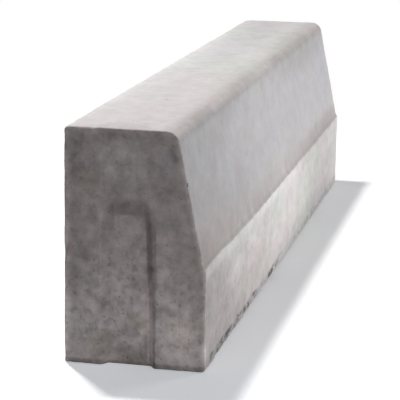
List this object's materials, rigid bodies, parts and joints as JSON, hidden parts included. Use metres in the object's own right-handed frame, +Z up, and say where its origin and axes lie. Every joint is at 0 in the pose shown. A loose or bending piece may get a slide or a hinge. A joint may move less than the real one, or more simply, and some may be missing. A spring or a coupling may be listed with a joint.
{
  "type": "concrete kerb stone",
  "caption": "Precast concrete kerb with a battered front, a small step above its upright base, a rounded top arris and a tapered key recess in each end, for edging a road.",
  "frame": {"origin": "middle of the rectangle that the kerb stands on, in the plane of its bottom face", "axes": "+X out of the front, the side that the road meets; +Y along the kerb's length; +Z up, out of the top face"},
  "size_m": [0.15, 1, 0.25],
  "materials": {
    "cast_concrete": "matte"
  },
  "bodies": {
    "root": {"kerb_stone": "cast_concrete"}
  },
  "joints": []
}
